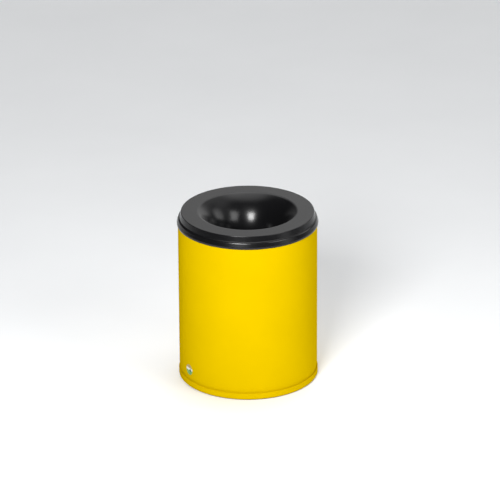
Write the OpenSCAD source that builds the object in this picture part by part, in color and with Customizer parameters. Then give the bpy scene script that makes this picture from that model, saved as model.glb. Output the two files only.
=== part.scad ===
// Self-extinguishing waste bin: steel drum, lift-out liner and one-piece funnel head.
// Millimetres, +Z up, centre of the floor at the origin, front towards -Y.

/* [Overall] */
// Outer diameter of the yellow drum wall
body_d = 315; // [300:1:330]
// Height from the floor to the flat top of the head
total_h = 398; // [360:1:420]
// Outer diameter of the skirt of the head
skirt_d = 320; // [320:0.5:321]

/* [Drum] */
// Sheet thickness of the drum wall
drum_t = 1; // [0.8:0.1:1]
// Radius of the stiffening wire inside the rolled rim
rim_wire_r = 1.45; // [1.3:0.05:1.45]
// Width of the vertical lap seam at the back
seam_w = 7; // [4:0.5:12]
// How far the lap seam stands out of the wall
seam_t = 0.5; // [0.3:0.1:0.8]

/* [Base] */
// Height of the foot band above the floor
foot_h = 15.7; // [12:0.1:18]
// Sheet thickness of the foot band
foot_t = 1.5; // [1:0.1:1.5]
// Width of the inward flange under the foot band
foot_flange = 9; // [7:0.5:14]
// Height of the top of the raised base plate
pan_h = 15; // [12:0.5:18]
// Thickness of the rubber under the foot flange
rubber_t = 1.5; // [1:0.1:2]

/* [Head] */
// Sheet thickness of the head
head_t = 1.5; // [1:0.1:1.5]
// Radius where the flat top starts to turn down into the funnel
mouth_r = 115; // [112:0.5:116]
// Bend radius at the mouth, between the flat top and the funnel
mouth_bend = 11.25; // [6:0.25:16]
// Slope of the funnel just inside the mouth, from horizontal
entry_slope = 30; // [26:1:32]
// Middle radius of the throat sheet; one long bend joins the mouth to the throat
throat_r = 60.9; // [59:0.1:66]
// Depth from the flat top to the middle of the rolled throat edge
throat_depth = 92; // [92:0.5:100]

/* [Liner] */
// Sheet thickness of the galvanised liner
liner_t = 0.8; // [0.6:0.1:0.8]
// Height of the lower edge of the liner above the floor
liner_foot = 20; // [18:0.5:30]

/* [Handles] */
// Radius of the wire of the drop handles
grip_wire_r = 2.5; // [2:0.1:2.5]
// Half width of a handle, wire centre to the middle of the handle
grip_half = 38; // [34:0.5:38]
// Distance from the hinge to the middle of the grip
grip_drop = 34; // [28:0.5:34]
// Gap between hinge wire and barrel bore
hinge_gap = 0.05; // [0.03:0.01:0.08]
// Distance of the hinge below the top of the head
hinge_depth = 40; // [38:0.5:60]

/* [Badge] */
// Diameter of the round vinyl badge
badge_d = 25; // [15:0.5:40]
// Height of the middle of the badge above the floor
badge_z = 42; // [29:0.5:200]
// Angle of the badge round the drum, from the front towards the left
badge_turn = 58.5; // [0:0.5:90]

/* [Hidden] */

body_r = body_d / 2;
skirt_r = skirt_d / 2;
fine = 160;                       // segments round the drum
round_fn = 48;                    // segments of a small circle

// levels of the rim stack, all taken down from the top of the head
bead_z = total_h - 24.6;          // centre of the rolled rim of the drum
bead_r = 2;                       // bend radius of that rim
curl_z = total_h - 17.85;         // centre of the rolled rim of the liner
curl_r = 4.1;                     // bend radius of that rim
curl_at = body_r - 7.1;           // distance of that rim from the axis
skirt_drop = 28;                // end of the skirt below the top of the head
throat_roll = 2.6;                // bend radius of the rolled throat edge

liner_in = curl_at - curl_r - liner_t / 2;    // inner radius of the liner wall
liner_out = liner_in + liner_t;
shell_in = body_r - drum_t;
flange_z = rubber_t + foot_t;                 // top of the foot flange
foot_bend = 2;                                // bend radius between foot flange and band
wall_low = flange_z + foot_bend - foot_t / 2; // the drum wall ends above that bend

hinge_x = liner_in - 9.05;        // hinge axis from the middle of the bin
hinge_z = total_h - hinge_depth;
pad_t = 1;                        // sheet of the handle brackets
pad_turn = 12.5;                  // half angle covered by a bracket
pad_low = hinge_z - 14;
pad_high = hinge_z + 14;
barrel_r = 4.5;
barrel_half = 33.5;
rivet_turn = 8;                   // rivet position either side of the bracket middle
rivet_rise = 9.5;                 // rivet position above and below the hinge
rivet_r = 1.5;
rivet_head_r = 3;
rivet_head_h = 1.2;

yellow = [0.98, 0.80, 0.02];
black = [0.09, 0.09, 0.10];
zinc = [0.68, 0.71, 0.73];
steel = [0.60, 0.61, 0.62];
rubber = [0.06, 0.06, 0.06];

// ---- sheet-metal profiles: x is the radius, y the height ----

function unit(p, q) = (q - p) / norm(q - p);
function left_of(d) = [-d[1], d[0]];
function turn_at(p, i) =
    let (a = unit(p[i - 1], p[i]), b = unit(p[i], p[i + 1]))
    atan2(a[0] * b[1] - a[1] * b[0], a * b);
function setback(p, r, i) =
    (i == 0 || i == len(p) - 1) ? 0 : r[i] * tan(abs(turn_at(p, i)) / 2);

// straight strip of sheet, t thick, on the line from a to b
module strip(a, b, t) {
    n = left_of(unit(a, b)) * t / 2;
    polygon([a + n, a - n, b - n, b + n]);
}

// ring of sheet, t thick, on a circle of radius r
module band(c, r, t) {
    translate(c)
        difference() {
            circle(r = r + t / 2, $fn = round_fn);
            circle(r = r - t / 2, $fn = round_fn);
        }
}

// wedge seen from c between the directions u and v, less than half a turn apart
module wedge(c, u, v, reach) {
    m = (u + v) / norm(u + v);
    polygon([c, c + u * reach, c + m * reach * 1.5, c + v * reach]);
}

// sheet that follows the points p with the bend radius r[i] at point i
module sheet(p, r, t) {
    last = len(p) - 1;
    for (i = [0 : last - 1]) {
        d = unit(p[i], p[i + 1]);
        strip(p[i] + d * setback(p, r, i), p[i + 1] - d * setback(p, r, i + 1), t);
    }
    for (i = [1 : last - 1]) {
        side = sign(turn_at(p, i));
        a = left_of(unit(p[i - 1], p[i])) * side;
        b = left_of(unit(p[i], p[i + 1])) * side;
        c = p[i] - unit(p[i - 1], p[i]) * setback(p, r, i) + a * r[i];
        intersection() {
            band(c, r[i], t);
            wedge(c, -a, -b, 2 * (r[i] + t));
        }
    }
}

// rolled edge: a band with a gap between the directions from and to
module rolled(c, r, t, from, to) {
    difference() {
        band(c, r, t);
        wedge(c, [cos(from), sin(from)], [cos(to), sin(to)], 2 * (r + t));
    }
}

module turned() {
    rotate_extrude($fn = fine) children();
}

// part of a ring between two radii and two heights
module ring(r_in, r_out, z_low, z_high) {
    turned()
        translate([r_in, z_low])
            square([r_out - r_in, z_high - z_low]);
}

// what lies within half an angle either side of +X
module sector(half, reach, z_low, z_high) {
    translate([0, 0, z_low])
        linear_extrude(z_high - z_low)
            polygon([[0, 0], reach * [cos(half), -sin(half)], [reach * 1.2, 0],
                     reach * [cos(half), sin(half)]]);
}

// ---- drum ----

module drum_shell() {
    color(yellow) {
        turned() {
            strip([body_r - drum_t / 2, wall_low], [body_r - drum_t / 2, bead_z], drum_t);
            rolled([body_r - drum_t / 2 - bead_r, bead_z], bead_r, drum_t, -60, 0);
        }
        intersection() {
            ring(body_r - drum_t / 2, body_r + seam_t, foot_h + 0.3, total_h - skirt_drop - 6.4);
            translate([-seam_w / 2, 0, 0])
                cube([seam_w, body_r * 2, total_h]);
        }
    }
}

module drum_rim_wire() {
    color(steel)
        turned()
            translate([body_r - drum_t / 2 - bead_r, bead_z])
                circle(r = rim_wire_r, $fn = round_fn);
}

module foot_band() {
    mid_r = body_r + foot_t / 2;
    mid_z = rubber_t + foot_t / 2;
    color(yellow)
        turned() {
            sheet([[body_r - foot_flange, mid_z], [mid_r, mid_z],
                   [mid_r, foot_h - foot_t / 2]], [0, foot_bend, 0], foot_t);
            translate([mid_r, foot_h - foot_t / 2])
                circle(r = foot_t / 2, $fn = round_fn);
        }
}

module base_plate() {
    edge_r = shell_in - drum_t / 2;
    edge_low = flange_z + 0.05;
    color(yellow)
        turned()
            sheet([[0, pan_h - drum_t / 2], [edge_r, pan_h - drum_t / 2], [edge_r, edge_low]],
                  [0, 3, 0], drum_t);
}

// rubber channel clipped over the inner edge of the foot flange
module floor_ring() {
    edge = body_r - foot_flange;
    color(rubber)
        turned()
            difference() {
                translate([edge - 1.5, 0])
                    square([foot_flange - 0.5, flange_z + 1.5]);
                translate([edge, rubber_t])
                    square([foot_flange, foot_t]);
                translate([edge + 3, flange_z - 0.1])
                    square([foot_flange, 3]);
            }
}

module badge() {
    color([0.93, 0.95, 0.93])
        intersection() {
            ring(body_r, body_r + 0.3, badge_z - badge_d, badge_z + badge_d);
            rotate([0, 0, -90 - badge_turn])
                translate([0, 0, badge_z])
                    rotate([0, 90, 0])
                        cylinder(d = badge_d, h = body_r + 5, $fn = round_fn);
        }
}

// ---- liner ----

// holes or shanks of the rivets of one bracket, on the +X side
module at_rivets() {
    for (a = [-rivet_turn, rivet_turn], z = [hinge_z - rivet_rise, hinge_z + rivet_rise])
        rotate([0, 0, a])
            translate([0, 0, z])
                rotate([0, 90, 0])
                    children();
}

module rivet_holes() {
    at_rivets()
        translate([0, 0, liner_in - 5])
            cylinder(r = rivet_r, h = 10, $fn = round_fn);
}

module liner_shell() {
    wall_r = liner_in + liner_t / 2;
    color(zinc)
        difference() {
            turned() {
                strip([wall_r, liner_foot], [wall_r, curl_z], liner_t);
                rolled([curl_at, curl_z], curl_r, liner_t, 180, 240);
            }
            for (side = [0, 180])
                rotate([0, 0, side]) rivet_holes();
        }
}

module liner_base() {
    edge_r = liner_in - liner_t / 2;
    disc_z = liner_foot + 5;
    color(zinc)
        turned()
            sheet([[0, disc_z], [edge_r, disc_z], [edge_r, liner_foot]], [0, 2.5, 0], liner_t);
}

// sheet-metal strap: pad against the wall, shelf, and barrel for the handle ends
module handle_bracket() {
    pad_in = liner_in - pad_t;
    color(zinc)
        difference() {
            union() {
                intersection() {
                    ring(pad_in, liner_in, pad_low, pad_high);
                    sector(pad_turn, body_r * 2, pad_low - 1, pad_high + 1);
                }
                translate([hinge_x, 0, hinge_z])
                    rotate([90, 0, 0])
                        cylinder(r = barrel_r, h = barrel_half * 2, center = true, $fn = round_fn);
                intersection() {
                    cylinder(r = pad_in + pad_t / 2, h = total_h, $fn = fine);
                    translate([hinge_x, -pad_in * sin(pad_turn) + 1, hinge_z + barrel_r - 1.5])
                        cube([20, 2 * (pad_in * sin(pad_turn) - 1), 1.5]);
                }
            }
            translate([hinge_x, 0, hinge_z])
                rotate([90, 0, 0])
                    cylinder(r = grip_wire_r + hinge_gap, h = barrel_half * 4, center = true,
                             $fn = round_fn);
            rivet_holes();
        }
}

module handle_bracket_left() {
    rotate([0, 0, 180]) handle_bracket();
}

module handle_bracket_right() {
    handle_bracket();
}

// head inside the liner, shank, and closing head outside
module rivet() {
    inner = liner_in - pad_t;
    translate([0, 0, inner - rivet_head_h])
        cylinder(r = rivet_head_r, h = rivet_head_h, $fn = round_fn);
    translate([0, 0, inner])
        cylinder(r = rivet_r, h = liner_out - inner, $fn = round_fn);
    translate([0, 0, liner_out])
        cylinder(r = rivet_head_r, h = rivet_head_h, $fn = round_fn);
}

module bracket_rivets() {
    color(steel)
        for (side = [0, 180])
            rotate([0, 0, side]) at_rivets() rivet();
}

// ---- drop handles: one bent wire each, hanging at rest ----

module wire_bend(r, from) {
    rotate([0, 0, from])
        rotate_extrude(angle = 90, $fn = 96)
            translate([r, 0])
                circle(r = grip_wire_r, $fn = round_fn);
}

// half of the wire in the plane of the handle: x along the hinge, y downwards
module half_wire() {
    top_bend = 4;
    low_bend = 9;
    pin_from = 14;
    translate([pin_from, 0, 0])
        rotate([0, 90, 0])
            cylinder(r = grip_wire_r, h = grip_half - top_bend - pin_from, $fn = round_fn);
    translate([grip_half - top_bend, top_bend, 0]) wire_bend(top_bend, -90);
    translate([grip_half, top_bend, 0])
        rotate([-90, 0, 0])
            cylinder(r = grip_wire_r, h = grip_drop - top_bend - low_bend, $fn = round_fn);
    translate([grip_half - low_bend, grip_drop - low_bend, 0]) wire_bend(low_bend, 0);
    translate([0, grip_drop, 0])
        rotate([0, 90, 0])
            cylinder(r = grip_wire_r, h = grip_half - low_bend, $fn = round_fn);
}

module drop_handle() {
    color(steel)
        translate([hinge_x, 0, hinge_z])
            rotate([-90, 0, 90]) {
                half_wire();
                mirror([1, 0, 0]) half_wire();
            }
}

module drop_handle_left() {
    rotate([0, 0, 180]) drop_handle();
}

module drop_handle_right() {
    drop_handle();
}

// ---- head ----

// samples of the middle line of the head, from the rolled throat edge to the skirt:
// each is a point and the side of the sheet that faces up or towards the axis
function arc_samples(c, r, from, to, bulge) =
    let (n = ceil(abs(to - from) / (r > 3 ? 4 : 10)))
    [for (k = [0 : n])
        let (a = from + (to - from) * k / n, side = [-sin(a), cos(a)])
        [c - side * bulge * r, side]];

function bend_samples(p, r, i) =
    let (d = unit(p[i - 1], p[i]), bulge = sign(turn_at(p, i)), from = atan2(d[1], d[0]))
    arc_samples(p[i] - d * setback(p, r, i) + left_of(d) * bulge * r[i], r[i],
                from, from + turn_at(p, i), bulge);

module head_cover() {
    mid = head_t / 2;
    top = total_h - mid;
    throat_z = total_h - throat_depth;
    // corners of the middle line, before the bends round them off
    mouth_corner = mouth_r - mouth_bend * tan(entry_slope / 2);
    entry_length = (mouth_corner - throat_r) / cos(entry_slope)
                   - mouth_bend * tan(entry_slope / 2);
    funnel_bend = entry_length / tan(45 - entry_slope / 2);
    line = [[throat_r, throat_z],
            [throat_r, top - (mouth_corner - throat_r) * tan(entry_slope)],
            [mouth_corner, top],
            [skirt_r - 10.2, top],                  // edge of the flat top
            [skirt_r - 6.9, total_h - 13],          // foot of the steep collar
            [skirt_r - 3.9, total_h - 15],          // shoulder
            [skirt_r - mid, total_h - 24.5],        // widest part of the skirt
            [skirt_r - mid - 0.25, total_h - skirt_drop]];
    bend = [0, funnel_bend, mouth_bend, 0.8, 1.2, 5.5, 5, 0];
    roll = arc_samples([throat_r + throat_roll, throat_z], throat_roll, 20, -270, -1);
    last = len(line) - 1;
    path = concat(roll, [for (i = [1 : last - 1]) each bend_samples(line, bend, i)],
                  [[line[last], left_of(unit(line[last - 1], line[last]))]]);
    round_edge = [for (a = [-15 : -15 : -165]) line[last] + mid * [cos(a), sin(a)]];
    color(black)
        turned()
            polygon(concat([for (s = path) s[0] + s[1] * mid],
                           round_edge,
                           [for (k = [len(path) - 1 : -1 : 0]) path[k][0] - path[k][1] * mid]));
}

module throat_wire() {
    color(steel)
        turned()
            translate([throat_r + throat_roll, total_h - throat_depth])
                circle(r = throat_roll - head_t / 2 - 0.05, $fn = round_fn);
}

drum_shell();
drum_rim_wire();
foot_band();
base_plate();
floor_ring();
badge();
liner_shell();
liner_base();
handle_bracket_left();
handle_bracket_right();
bracket_rivets();
drop_handle_left();
drop_handle_right();
head_cover();
throat_wire();
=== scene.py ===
"""Looks of the self-extinguishing waste can: sheet-metal shells, coats, zinc, rubber, studio light."""

import math

import bpy
from mathutils import Matrix, Vector, noise


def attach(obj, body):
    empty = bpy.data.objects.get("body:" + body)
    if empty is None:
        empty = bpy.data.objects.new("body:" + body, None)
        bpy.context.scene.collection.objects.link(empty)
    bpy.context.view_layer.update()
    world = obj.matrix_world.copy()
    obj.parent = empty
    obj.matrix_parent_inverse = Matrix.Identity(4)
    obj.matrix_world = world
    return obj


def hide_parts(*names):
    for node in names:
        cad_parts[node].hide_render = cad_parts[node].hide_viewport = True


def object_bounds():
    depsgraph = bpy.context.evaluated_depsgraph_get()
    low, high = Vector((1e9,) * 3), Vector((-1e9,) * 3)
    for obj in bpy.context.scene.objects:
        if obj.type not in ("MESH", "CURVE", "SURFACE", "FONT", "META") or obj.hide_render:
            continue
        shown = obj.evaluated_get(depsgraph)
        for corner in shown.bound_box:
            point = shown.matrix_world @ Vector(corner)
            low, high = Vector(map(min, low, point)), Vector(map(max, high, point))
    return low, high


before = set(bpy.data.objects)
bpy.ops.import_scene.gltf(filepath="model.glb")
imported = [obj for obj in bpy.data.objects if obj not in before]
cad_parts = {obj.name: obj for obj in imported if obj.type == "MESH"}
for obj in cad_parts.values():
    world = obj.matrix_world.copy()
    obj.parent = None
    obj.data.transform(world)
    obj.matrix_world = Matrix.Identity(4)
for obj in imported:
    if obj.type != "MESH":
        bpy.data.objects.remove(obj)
cad_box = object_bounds()

MM = 0.001                       # metres in a millimetre
ROUND = 256                      # segments round the axis
LONG_RUN = 25.0                  # millimetres between samples on a long straight run
WAVE_ROUND = 1.7                 # radius, in the noise, of one trip round the axis
WAVE_TALL = 90.0                 # millimetres up a wall for one unit of the noise

# ---------------------------------------------------------------- sizes, in millimetres
TOP = cad_box[1].z / MM          # height of the can
BODY_R = 157.5                   # outside of the drum
SKIRT_R = 160.0                  # outside of the head
DRUM_T = 1.0                     # sheet thicknesses
HEAD_T = 1.5
LINER_T = 0.8
FOOT_T = 1.5
RUBBER_T = 1.5
FOOT_H = 15.7                    # top edge of the foot band
FOOT_LIP = 10.5                  # how far the band is turned in under the drum
FOOT_BEND = 2.0
BEAD_Z = TOP - 24.6              # rolled rim of the drum
BEAD_R = 2.0
CURL_Z = TOP - 17.85             # rolled rim of the liner
CURL_R = 4.1
CURL_AT = BODY_R - 7.1
LINER_MID = CURL_AT - CURL_R
LINER_FOOT = 20.0
MOUTH_R = 115.0                  # start of the bend from the flat top into the funnel
MOUTH_BEND = 11.25
ENTRY_SLOPE = math.radians(30)   # slope of the funnel just inside that bend
THROAT_R = 60.9
THROAT_DEPTH = 92.0
THROAT_ROLL = 2.6
SEAM_HALF = 3.5                  # half the width of the drum's lap seam
SEAM_T = 0.5
SEAM_LOW = FOOT_H + 5
SEAM_HIGH = TOP - 37
BADGE_D = 25.0
BADGE_T = 0.28
BADGE_TURN = 58.5                # degrees from the front to the left
BADGE_Z = 42.0


# ---------------------------------------------------------------- sheet outlines (radius, height)
def unit(p, q):
    d = Vector(q) - Vector(p)
    return d / d.length


def left_of(d):
    return Vector((-d.y, d.x))


def arc(centre, r, start, stop, bulge, step=4.0):
    """Samples (point, left side) along an arc whose direction turns from start to stop degrees."""
    n = max(2, int(math.ceil(abs(stop - start) / step)))
    out = []
    for k in range(n + 1):
        a = math.radians(start + (stop - start) * k / n)
        side = Vector((-math.sin(a), math.cos(a)))
        out.append((Vector(centre) - side * bulge * r, side))
    return out


def bent(points, radii, step=4.0, guard=0.4):
    """Samples along a line of straight runs with a bend of radii[i] at point i. Straight runs get
    a guard sample near each end, so that smooth shading stays inside the bends."""
    def turning(i):
        a, b = unit(points[i - 1], points[i]), unit(points[i], points[i + 1])
        return math.degrees(math.atan2(a.x * b.y - a.y * b.x, a.dot(b)))

    out = []
    last = len(points) - 1
    for i in range(last + 1):
        if 0 < i < last:
            t = turning(i)
            d = unit(points[i - 1], points[i])
            bulge = 1 if t > 0 else -1
            back = radii[i] * math.tan(math.radians(abs(t)) / 2)
            start = math.degrees(math.atan2(d.y, d.x))
            centre = Vector(points[i]) - d * back + left_of(d) * bulge * radii[i]
            run = arc(centre, radii[i], start, start + t, bulge, step)
        else:
            d = unit(points[0], points[1]) if i == 0 else unit(points[-2], points[-1])
            run = [(Vector(points[i]), left_of(d))]
        if out:
            a, b = out[-1][0], run[0][0]
            gap = (b - a).length
            if gap > 3 * guard:
                d = (b - a) / gap
                out.append((a + d * guard, left_of(d)))
                parts = int(gap // LONG_RUN)
                for k in range(1, parts + 1):
                    out.append((a + d * gap * k / (parts + 1), left_of(d)))
                out.append((b - d * guard, left_of(d)))
            elif gap < guard / 10:
                run = run[1:]            # bends that meet share one sample
        out += run
    return out


def thick(samples, t, round_end=False):
    """Closed outline of a sheet t thick on a sampled middle line."""
    h = t / 2
    out = [p + s * h for p, s in samples]
    if round_end:
        point, side = samples[-1]
        ahead = Vector((side.y, -side.x))
        for a in (math.radians(k) for k in range(20, 161, 20)):
            out.append(point + (side * math.cos(a) + ahead * math.sin(a)) * h)
    out += [p - s * h for p, s in reversed(samples)]
    return out


# ---------------------------------------------------------------- meshes
def add_mesh(name, verts, faces, materials, smooth=True):
    mesh = bpy.data.meshes.new(name)
    mesh.from_pydata(verts, [], faces)
    mesh.validate()
    mesh.update()
    obj = bpy.data.objects.new(name, mesh)
    bpy.context.scene.collection.objects.link(obj)
    for m in materials:
        mesh.materials.append(m)
    mesh.polygons.foreach_set("use_smooth", [smooth] * len(mesh.polygons))
    return obj


def lathe(name, outline, material, wave=0.0, seed=0.0):
    """Turns a closed outline round the axis. wave is the depth in mm of a faint waviness."""
    verts, faces = [], []
    n = len(outline)
    for k in range(ROUND):
        a = 2 * math.pi * k / ROUND
        ca, sa = math.cos(a), math.sin(a)
        for p in outline:
            r = p.x
            if wave:
                r += wave * noise.noise(Vector((ca * WAVE_ROUND + seed, sa * WAVE_ROUND, p.y / WAVE_TALL)))
            verts.append((r * ca * MM, r * sa * MM, p.y * MM))
    for k in range(ROUND):
        a, b = k * n, (k + 1) % ROUND * n
        for i in range(n):
            j = (i + 1) % n
            faces.append((a + i, b + i, b + j, a + j))
    obj = add_mesh(name, verts, faces, [material])
    if sum((p.x * q.y - q.x * p.y) for p, q in zip(outline, outline[1:] + outline[:1])) < 0:
        obj.data.flip_normals()
    return obj


# ---------------------------------------------------------------- materials
def new_material(name):
    mat = bpy.data.materials.new(name)
    mat.use_nodes = True
    tree = mat.node_tree
    return mat, tree, tree.nodes["Principled BSDF"]


def node(tree, kind, **settings):
    n = tree.nodes.new(kind)
    for key, value in settings.items():
        setattr(n, key, value)
    return n


def noise_node(tree, where, scale, detail=2.0, rough=0.5):
    n = node(tree, "ShaderNodeTexNoise")
    n.inputs["Scale"].default_value = scale
    n.inputs["Detail"].default_value = detail
    n.inputs["Roughness"].default_value = rough
    tree.links.new(where, n.inputs["Vector"])
    return n


def spread(tree, value, low, high, in_low=0.3, in_high=0.7):
    """Maps a texture value to the range low to high."""
    n = node(tree, "ShaderNodeMapRange")
    n.inputs["From Min"].default_value = in_low
    n.inputs["From Max"].default_value = in_high
    n.inputs["To Min"].default_value = low
    n.inputs["To Max"].default_value = high
    tree.links.new(value, n.inputs["Value"])
    return n.outputs["Result"]


def mixed(tree, factor, a, b):
    n = node(tree, "ShaderNodeMix", data_type="RGBA")
    n.inputs["A"].default_value = (*a, 1.0)
    n.inputs["B"].default_value = (*b, 1.0)
    tree.links.new(factor, n.inputs["Factor"])
    return n.outputs["Result"]


def bump(tree, texture, strength, depth, under=None):
    """Normal of a surface with a bump of the texture, depth in mm, laid over the normal under."""
    n = node(tree, "ShaderNodeBump")
    n.inputs["Strength"].default_value = strength
    n.inputs["Distance"].default_value = depth * MM
    tree.links.new(texture.outputs["Fac"], n.inputs["Height"])
    if under:
        tree.links.new(under, n.inputs["Normal"])
    return n.outputs["Normal"]


def shaded(color, k):
    return tuple(min(1.0, c * k) for c in color)


def powder_coat(name, color, roughness, specular, peel, mottle):
    """Satin powder coat: orange peel, a finer grain, faint mottling of colour and gloss."""
    mat, tree, bsdf = new_material(name)
    where = node(tree, "ShaderNodeTexCoord").outputs["Object"]
    broad = noise_node(tree, where, 9.0, 3.0)
    fine = noise_node(tree, where, 2600.0, 1.0)
    skin = noise_node(tree, where, 620.0, 2.0, 0.45)
    tone = mixed(tree, spread(tree, broad.outputs["Fac"], 0.0, 1.0),
                 shaded(color, 1 - mottle), shaded(color, 1 + mottle))
    tree.links.new(tone, bsdf.inputs["Base Color"])
    gloss = node(tree, "ShaderNodeMath", operation="ADD")
    tree.links.new(spread(tree, fine.outputs["Fac"], -0.03, 0.03), gloss.inputs[0])
    tree.links.new(spread(tree, broad.outputs["Fac"], roughness - 0.02, roughness + 0.02), gloss.inputs[1])
    tree.links.new(gloss.outputs[0], bsdf.inputs["Roughness"])
    bsdf.inputs["Specular IOR Level"].default_value = specular
    grain = bump(tree, fine, 0.10, 0.04)
    tree.links.new(bump(tree, skin, peel, 0.2, under=grain), bsdf.inputs["Normal"])
    return mat


def galvanised(name):
    """Hot-dip zinc: angular spangle in several greys, each crystal with its own gloss."""
    mat, tree, bsdf = new_material(name)
    where = node(tree, "ShaderNodeTexCoord").outputs["Object"]
    warp = noise_node(tree, where, 60.0, 2.0)
    warped = node(tree, "ShaderNodeVectorMath", operation="MULTIPLY_ADD")
    warped.inputs[1].default_value = (0.006, 0.006, 0.006)
    tree.links.new(warp.outputs["Color"], warped.inputs[0])
    tree.links.new(where, warped.inputs[2])
    cells = node(tree, "ShaderNodeTexVoronoi", feature="F1")
    cells.inputs["Scale"].default_value = 95.0
    tree.links.new(warped.outputs[0], cells.inputs["Vector"])
    pick = node(tree, "ShaderNodeSeparateColor")
    tree.links.new(cells.outputs["Color"], pick.inputs[0])
    tone = mixed(tree, pick.outputs[0], (0.40, 0.42, 0.44), (0.66, 0.69, 0.71))
    tree.links.new(tone, bsdf.inputs["Base Color"])
    tree.links.new(spread(tree, pick.outputs[1], 0.32, 0.52, 0.0, 1.0), bsdf.inputs["Roughness"])
    bsdf.inputs["Metallic"].default_value = 1.0
    fine = noise_node(tree, where, 900.0, 2.0)
    tree.links.new(bump(tree, fine, 0.12, 0.1), bsdf.inputs["Normal"])
    return mat


def wire_steel(name):
    """Bright zinc-plated wire: a fine grain and a little staining."""
    mat, tree, bsdf = new_material(name)
    where = node(tree, "ShaderNodeTexCoord").outputs["Object"]
    stain = noise_node(tree, where, 120.0, 4.0)
    tone = mixed(tree, spread(tree, stain.outputs["Fac"], 0.0, 1.0), (0.50, 0.51, 0.53), (0.66, 0.66, 0.67))
    tree.links.new(tone, bsdf.inputs["Base Color"])
    fine = noise_node(tree, where, 3000.0, 2.0)
    tree.links.new(spread(tree, fine.outputs["Fac"], 0.26, 0.42), bsdf.inputs["Roughness"])
    bsdf.inputs["Metallic"].default_value = 1.0
    tree.links.new(bump(tree, fine, 0.15, 0.05), bsdf.inputs["Normal"])
    return mat


def rubber_black(name):
    """Black rubber with grey dust in places."""
    mat, tree, bsdf = new_material(name)
    where = node(tree, "ShaderNodeTexCoord").outputs["Object"]
    dust = noise_node(tree, where, 45.0, 5.0, 0.6)
    tone = mixed(tree, spread(tree, dust.outputs["Fac"], 0.0, 1.0, 0.4, 0.75),
                 (0.012, 0.012, 0.012), (0.045, 0.043, 0.040))
    tree.links.new(tone, bsdf.inputs["Base Color"])
    fine = noise_node(tree, where, 1500.0, 3.0)
    tree.links.new(spread(tree, fine.outputs["Fac"], 0.62, 0.85), bsdf.inputs["Roughness"])
    tree.links.new(bump(tree, fine, 0.25, 0.1), bsdf.inputs["Normal"])
    return mat


def vinyl(name, color):
    """Printed sticker vinyl: smooth, with a faint print grain."""
    mat, tree, bsdf = new_material(name)
    where = node(tree, "ShaderNodeTexCoord").outputs["Object"]
    fine = noise_node(tree, where, 1800.0, 2.0)
    tone = mixed(tree, spread(tree, fine.outputs["Fac"], 0.0, 1.0), shaded(color, 0.94), color)
    tree.links.new(tone, bsdf.inputs["Base Color"])
    tree.links.new(spread(tree, fine.outputs["Fac"], 0.24, 0.34), bsdf.inputs["Roughness"])
    tree.links.new(bump(tree, fine, 0.06, 0.05), bsdf.inputs["Normal"])
    return mat


yellow = powder_coat("yellow_coat", (0.58, 0.388, 0.0), roughness=0.42, specular=0.0,
                     peel=0.10, mottle=0.02)
black = powder_coat("black_coat", (0.005, 0.005, 0.0055), roughness=0.22, specular=0.35,
                    peel=0.12, mottle=0.10)
zinc = galvanised("galvanised_sheet")
wire = wire_steel("steel_wire")
rubber = rubber_black("black_rubber")
badge_white = vinyl("badge_white", (0.68, 0.72, 0.68))
badge_green = vinyl("badge_green", (0.10, 0.31, 0.07))
badge_teal = vinyl("badge_teal", (0.005, 0.07, 0.045))
badge_grey = vinyl("badge_grey", (0.36, 0.26, 0.07))

# ---------------------------------------------------------------- drum
WALL_MID = BODY_R - DRUM_T / 2
WALL_LOW = RUBBER_T + FOOT_T + 1.25  # just above the bend of the foot band
SWAGE = 1.6                      # how far the wall is drawn in above the foot band
wall = bent([(WALL_MID, WALL_LOW),
             (WALL_MID, FOOT_H - 3.2),             # start of the groove, behind the foot band
             (WALL_MID - SWAGE, FOOT_H - 0.6),
             (WALL_MID - SWAGE, FOOT_H + 1.3),     # deepest part of the groove
             (WALL_MID, FOOT_H + 8.3),             # end of the groove
             (WALL_MID, BEAD_Z)],
            [0, 0.8, 0.8, 0.6, 50.0, 0], step=2, guard=0.25)
curl = arc((WALL_MID - BEAD_R, BEAD_Z), BEAD_R, 90, 390, 1, step=12)  # rolls inwards
drum_wall = lathe("drum_wall", thick(wall[:-1] + curl, DRUM_T), yellow, wave=0.05)
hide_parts("drum_shell")
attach(drum_wall, "drum")

FOOT_MID = BODY_R + FOOT_T / 2
FOOT_LOW = RUBBER_T + FOOT_T / 2
foot = bent([(BODY_R + FOOT_T - FOOT_LIP, FOOT_LOW), (FOOT_MID, FOOT_LOW), (FOOT_MID, FOOT_H - FOOT_T / 2)],
            [0, FOOT_BEND, 0], step=8, guard=0.3)
foot_band = lathe("foot_band_shell", thick(foot, FOOT_T, round_end=True), yellow)
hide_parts("foot_band")
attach(foot_band, "drum")


def seam_strip(name, material):
    """Raised lap seam up the back of the drum, with soft edges and low ends."""
    sunk = -0.05                 # the edges dip just under the wall
    shoulder = SEAM_T * 0.6
    across = [(-SEAM_HALF, sunk), (-SEAM_HALF + 0.1, shoulder), (-SEAM_HALF + 0.5, SEAM_T), (0, SEAM_T),
              (SEAM_HALF - 0.5, SEAM_T), (SEAM_HALF - 0.1, shoulder), (SEAM_HALF, sunk)]
    rows = 40
    verts, faces = [], []
    for k in range(rows + 1):
        z = SEAM_LOW + (SEAM_HIGH - SEAM_LOW) * k / rows
        rise = 1.0 if 0 < k < rows else 0.2
        for x, h in across:
            r = BODY_R + (h if h < 0 else h * rise)
            a = math.pi / 2 + x / BODY_R
            verts.append((r * math.cos(a) * MM, r * math.sin(a) * MM, z * MM))
    n = len(across)
    for k in range(rows):
        for i in range(n - 1):
            a = k * n + i
            faces.append((a, a + 1, a + n + 1, a + n))
    return add_mesh(name, verts, faces, [material])


seam = seam_strip("drum_seam", yellow)
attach(seam, "drum")


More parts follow.
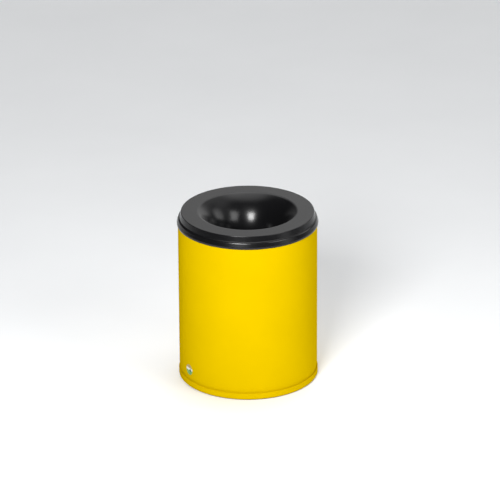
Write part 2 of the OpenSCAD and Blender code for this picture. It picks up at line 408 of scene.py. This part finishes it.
def badge_sticker(name):
    """Round printed sticker: grey top, white middle, green lower part, one plain dark dot."""
    white, green, teal, grey = range(4)
    rings, spokes = 16, 72
    r0 = BADGE_D / 2
    profile = [(r0 * k / rings, BADGE_T) for k in range(1, rings)]
    profile += [(r0 - 0.06, BADGE_T * 0.85), (r0, BADGE_T * 0.5), (r0, 0.0)]   # rounded edge

    def place(u, v, h):
        a = math.radians(-90 - BADGE_TURN) + u / BODY_R
        r = BODY_R + h
        return (r * math.cos(a) * MM, r * math.sin(a) * MM, (BADGE_Z + v) * MM)

    def area(u, v):
        """Which colour is printed at (u, v), given as parts of the radius."""
        if math.hypot(u - 0.36, v + 0.10) < 0.30:
            return teal
        if v > 0.34:
            return grey
        return green if v < -0.10 else white

    verts, faces, areas = [place(0, 0, BADGE_T)], [], []
    for rho, h in profile:
        for s in range(spokes):
            a = 2 * math.pi * s / spokes
            verts.append(place(rho * math.cos(a), rho * math.sin(a), h))
    for k in range(len(profile)):
        for s in range(spokes):
            t = (s + 1) % spokes
            a = 2 * math.pi * (s + 0.5) / spokes
            rho = min(1.0, (k + 0.5) / rings)
            if k == 0:
                faces.append((0, 1 + s, 1 + t))
            else:
                b, c = 1 + (k - 1) * spokes, 1 + k * spokes
                faces.append((b + s, c + s, c + t, b + t))
            areas.append(area(rho * math.cos(a), rho * math.sin(a)))
    obj = add_mesh(name, verts, faces, [badge_white, badge_green, badge_teal, badge_grey])
    obj.data.polygons.foreach_set("material_index", areas)
    return obj


badge = badge_sticker("badge_sticker")
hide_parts("badge")
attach(badge, "drum")

# ---------------------------------------------------------------- liner
liner_wall = bent([(LINER_MID, LINER_FOOT), (LINER_MID, CURL_Z)], [0, 0], guard=0.3)
liner_roll = arc((CURL_AT, CURL_Z), CURL_R, 90, -210, -1, step=10)  # rolls outwards
liner_shell = lathe("liner_wall", thick(liner_wall[:-1] + liner_roll, LINER_T), zinc, wave=0.06, seed=4.0)
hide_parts("liner_shell")
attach(liner_shell, "liner")

# ---------------------------------------------------------------- head
MID = HEAD_T / 2
WAVE_ROOM = 0.05                 # keeps the waviness inside the skirt's true radius
roll = arc((THROAT_R + THROAT_ROLL, TOP - THROAT_DEPTH), THROAT_ROLL, 20, -270, -1, step=8)
mouth_back = MOUTH_BEND * math.tan(ENTRY_SLOPE / 2)
mouth_corner = MOUTH_R - mouth_back
entry_length = (mouth_corner - THROAT_R) / math.cos(ENTRY_SLOPE) - mouth_back
funnel_bend = entry_length / math.tan(math.pi / 4 - ENTRY_SLOPE / 2)
line = bent([(THROAT_R, TOP - THROAT_DEPTH),
             (THROAT_R, TOP - MID - (mouth_corner - THROAT_R) * math.tan(ENTRY_SLOPE)),
             (mouth_corner, TOP - MID),
             (SKIRT_R - 10.2, TOP - MID),                # edge of the flat top
             (SKIRT_R - 6.9, TOP - 13.0),                # foot of the steep collar
             (SKIRT_R - 3.9, TOP - 15.0),                # shoulder
             (SKIRT_R - MID - WAVE_ROOM, TOP - 24.5),    # widest part of the skirt
             (SKIRT_R - MID - 0.3, TOP - 28.0)],         # lower edge
            [0, funnel_bend, MOUTH_BEND, 0.8, 1.2, 5.5, 5.0, 0], step=2.5, guard=0.4)
head = lathe("head_shell", thick(roll + line[1:], HEAD_T, round_end=True), black, wave=0.03, seed=9.0)
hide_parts("head_cover")
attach(head, "head")

# ---------------------------------------------------------------- materials of the CAD nodes that show
for name, material in {
        "drum_rim_wire": wire, "throat_wire": wire, "base_plate": yellow, "floor_ring": rubber,
        "liner_base": zinc, "handle_bracket_left": zinc, "handle_bracket_right": zinc,
        "bracket_rivets": wire, "drop_handle_left": wire, "drop_handle_right": wire}.items():
    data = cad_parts[name].data
    for k in range(len(data.materials)):
        data.materials[k] = material
    if not data.materials:
        data.materials.append(material)

# ---------------------------------------------------------------- studio
floor_mat, floor_tree, floor_bsdf = new_material("floor_paper")
floor_where = node(floor_tree, "ShaderNodeTexCoord").outputs["Object"]
floor_noise = noise_node(floor_tree, floor_where, 3.0, 3.0)
floor_tree.links.new(mixed(floor_tree, spread(floor_tree, floor_noise.outputs["Fac"], 0.0, 1.0),
                           (0.825, 0.838, 0.852), (0.845, 0.858, 0.872)), floor_bsdf.inputs["Base Color"])
floor_bsdf.inputs["Roughness"].default_value = 0.7
floor_bsdf.inputs["Specular IOR Level"].default_value = 0.2
FLOOR_R = 14.0                   # metres
FLOOR_SIDES = 64
floor_turns = [2 * math.pi * k / FLOOR_SIDES for k in range(FLOOR_SIDES)]
floor_points = [(FLOOR_R * math.cos(a), FLOOR_R * math.sin(a), 0.0) for a in floor_turns]
floor = add_mesh("floor", floor_points, [tuple(range(FLOOR_SIDES))], [floor_mat], smooth=False)


LIT_CENTRE = Vector((0, 0, 0.30))
LIGHT_AWAY = 2.4                 # metres from there to the softboxes


def toward_light(azimuth, elevation):
    """Direction from the can in degrees: azimuth 0 is the camera's side, 90 is to its right."""
    a, e = math.radians(azimuth), math.radians(elevation)
    return Vector((math.sin(a) * math.cos(e), -math.cos(a) * math.cos(e), math.sin(e)))


def softbox(name, azimuth, elevation, width, height, power):
    away = toward_light(azimuth, elevation)
    data = bpy.data.lights.new(name, "AREA")
    data.shape = "RECTANGLE"
    data.size, data.size_y = width, height
    data.energy = power
    obj = bpy.data.objects.new(name, data)
    obj.location = LIT_CENTRE + away * LIGHT_AWAY
    obj.rotation_euler = (-away).to_track_quat("-Z", "Y").to_euler()
    obj.visible_camera = False
    bpy.context.scene.collection.objects.link(obj)


softbox("softbox_left", azimuth=-14.0, elevation=31.5, width=0.78, height=0.80, power=64)
softbox("softbox_right", azimuth=51.5, elevation=31.5, width=1.0, height=0.94, power=15)

# soft glow of the room: (azimuth, elevation, reach in degrees, strength)
GLOWS = ((0, 36, 26, 0.25),      # fill over the camera
         (65, 12, 16, 1.3),      # low reflectors on the right
         (110, 20, 20, 2.0),
         (85, 36, 26, 0.3),      # fill on the right
         (120, 60, 28, 0.7),
         (180, 85, 29, 2.0),     # overhead bank
         (180, 60, 28, 1.9),
         (180, 37, 24, 0.5),     # backdrop, high to low
         (150, 30, 24, 0.5),
         (165, 10, 28, 0.7),
         (-165, 10, 28, 0.15))
GLOW_CORE = 4.0                  # degrees of full strength in the middle of a glow

world = bpy.data.worlds.new("studio")
bpy.context.scene.world = world
world.use_nodes = True
sky = world.node_tree
direction = node(sky, "ShaderNodeTexCoord").outputs["Generated"]
total = None
for azimuth, elevation, reach, strength in GLOWS:
    facing = node(sky, "ShaderNodeVectorMath", operation="DOT_PRODUCT")
    facing.inputs[1].default_value = toward_light(azimuth, elevation)
    sky.links.new(direction, facing.inputs[0])
    fade = node(sky, "ShaderNodeMapRange", interpolation_type="SMOOTHSTEP")
    fade.inputs["From Min"].default_value = math.cos(math.radians(reach))
    fade.inputs["From Max"].default_value = math.cos(math.radians(GLOW_CORE))
    fade.inputs["To Max"].default_value = strength
    sky.links.new(facing.outputs["Value"], fade.inputs["Value"])
    if total is None:
        total = fade.outputs["Result"]
    else:
        both = node(sky, "ShaderNodeMath", operation="ADD")
        sky.links.new(total, both.inputs[0])
        sky.links.new(fade.outputs["Result"], both.inputs[1])
        total = both.outputs[0]
sky.links.new(total, sky.nodes["Background"].inputs["Strength"])
sky.nodes["Background"].inputs["Color"].default_value = (1.0, 1.0, 1.0, 1.0)

# ---------------------------------------------------------------- camera
CAM_F = 272.1                    # focal length for a 36 mm wide sensor
CAM_AWAY = 7.875                 # metres in front of the axis
CAM_UP = 3.660
CAM_SIDE = 0.0052                # metres to the right
CAM_PITCH = 0.40315              # radians below the horizon
CAM_ROLL = -0.0059
cam_data = bpy.data.cameras.new("camera")
cam_data.lens = CAM_F
cam_data.sensor_width = 36.0
cam = bpy.data.objects.new("camera", cam_data)
bpy.context.scene.collection.objects.link(cam)
cam.location = (CAM_SIDE, -CAM_AWAY, CAM_UP)
cam.rotation_mode = "QUATERNION"
cam.rotation_quaternion = (Matrix.Rotation(math.pi / 2 - CAM_PITCH, 3, "X")
                           @ Matrix.Rotation(CAM_ROLL, 3, "Z")).to_quaternion()
bpy.context.scene.camera = cam
bpy.context.scene.view_settings.view_transform = "Standard"
